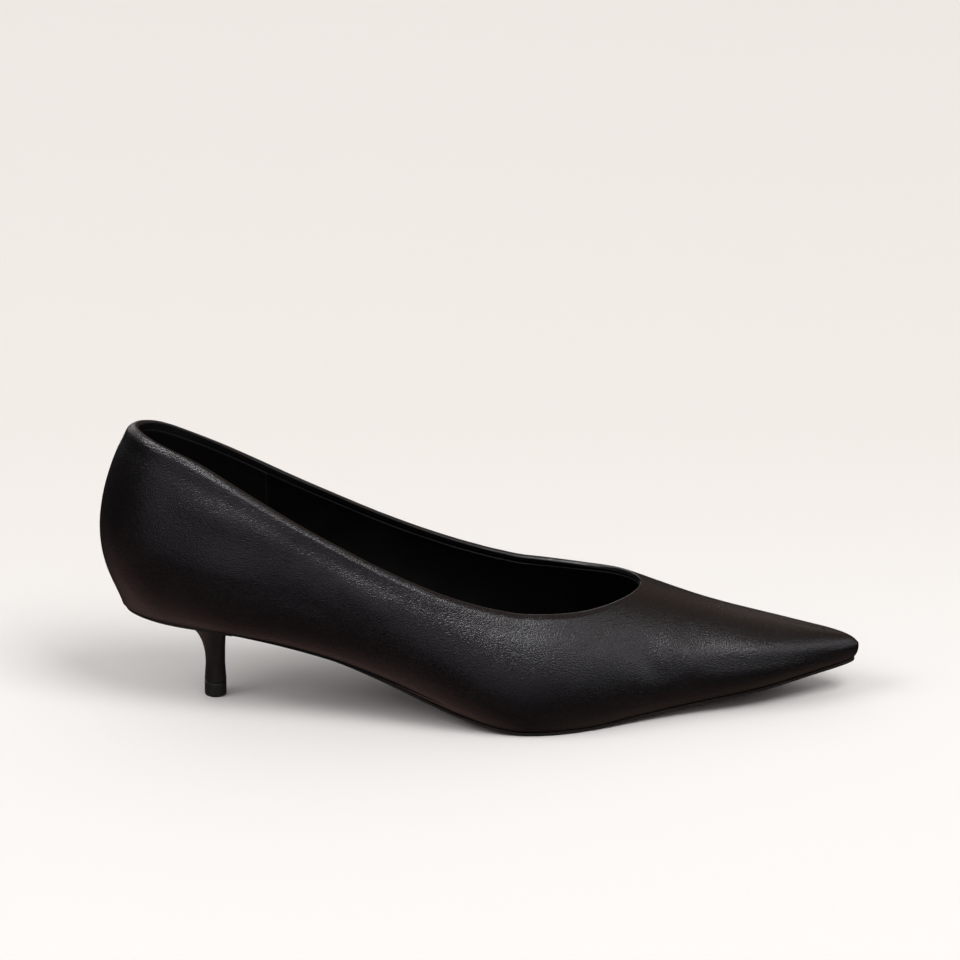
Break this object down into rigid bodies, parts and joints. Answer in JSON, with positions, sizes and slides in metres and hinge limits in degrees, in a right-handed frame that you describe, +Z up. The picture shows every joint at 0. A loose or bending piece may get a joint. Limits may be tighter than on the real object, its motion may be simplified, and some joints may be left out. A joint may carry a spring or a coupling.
{
  "type": "kitten heel pump",
  "caption": "Pointed low-cut pump in black leather with a slim low heel, a thin sole and a folded topline, right foot.",
  "frame": {"origin": "on the floor plane, under the middle of the upper's box in X and Y", "axes": "+Z up, +X from the heel to the toe, -Y the outer side of the foot (little toe), +Y the inner side"},
  "size_m": [0.2638, 0.0766, 0.103],
  "materials": {
    "leather": "smooth black leather, satin",
    "sock": "black lining leather, matt",
    "sole": "black resin sole, matt",
    "heel": "black lacquered heel, satin",
    "top_piece": "black top piece, satin"
  },
  "bodies": {
    "root": {"upper": "leather", "insole": "sock", "outsole": "sole", "heel": "heel", "heel_tip": "top_piece"}
  },
  "joints": []
}
